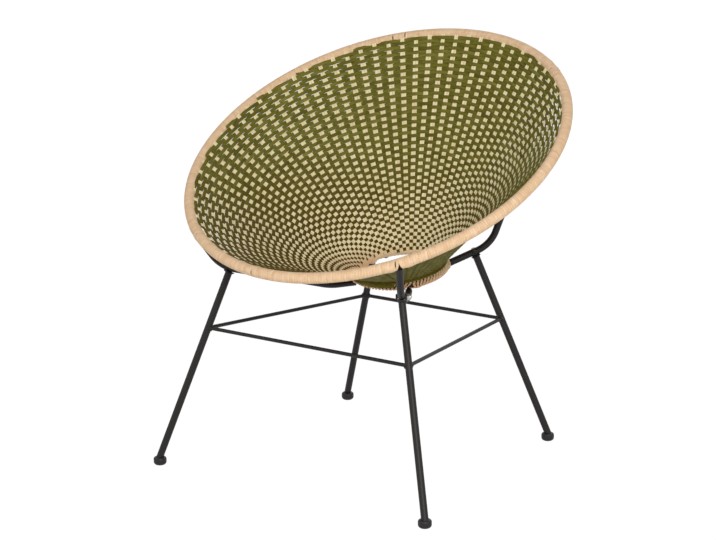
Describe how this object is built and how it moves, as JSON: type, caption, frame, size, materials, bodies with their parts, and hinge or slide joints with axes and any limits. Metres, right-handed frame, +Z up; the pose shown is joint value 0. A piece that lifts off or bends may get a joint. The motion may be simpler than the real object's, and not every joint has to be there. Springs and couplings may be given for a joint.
{
  "type": "acapulco chair",
  "caption": "Round lounge chair: a tilted funnel seat woven from flat strands between two hoops, carried by bent arms bolted to splayed legs with thin stretchers.",
  "frame": {"origin": "on the floor under the middle of the rim", "axes": "+Z up, +Y towards the rear of the chair, where the rim stands highest, +X towards the right of someone who faces the chair from its front"},
  "size_m": [0.73, 0.645, 0.7541],
  "materials": {
    "powder_coat": "satin black powder coat",
    "natural_strand": "satin, lightly ribbed strand in natural beige",
    "green_strand": "satin, lightly ribbed strand in olive green",
    "zinc_plate": "zinc plated",
    "bolt_black": "black oxide",
    "cap_plastic": "fine moulded texture"
  },
  "bodies": {
    "root": {"rim_hoop": "powder_coat", "base_hoop": "powder_coat", "rim_binding": "natural_strand", "base_binding": "natural_strand", "woven_seat": "green_strand", "arm_front_left": "powder_coat", "leg_front_left": "powder_coat", "leg_bracket_front_left": "powder_coat", "bolt_front_left": "bolt_black", "cap_nut_front_left": "zinc_plate", "foot_cap_front_left": "cap_plastic", "arm_front_right": "powder_coat", "leg_front_right": "powder_coat", "leg_bracket_front_right": "powder_coat", "bolt_front_right": "bolt_black", "cap_nut_front_right": "zinc_plate", "foot_cap_front_right": "cap_plastic", "arm_rear_left": "powder_coat", "leg_rear_left": "powder_coat", "leg_bracket_rear_left": "powder_coat", "bolt_rear_left": "bolt_black", "cap_nut_rear_left": "zinc_plate", "foot_cap_rear_left": "cap_plastic", "arm_rear_right": "powder_coat", "leg_rear_right": "powder_coat", "leg_bracket_rear_right": "powder_coat", "bolt_rear_right": "bolt_black", "cap_nut_rear_right": "zinc_plate", "foot_cap_rear_right": "cap_plastic", "stretcher_front": "powder_coat", "stretcher_rear": "powder_coat", "stretcher_left": "powder_coat", "stretcher_right": "powder_coat"}
  },
  "joints": []
}
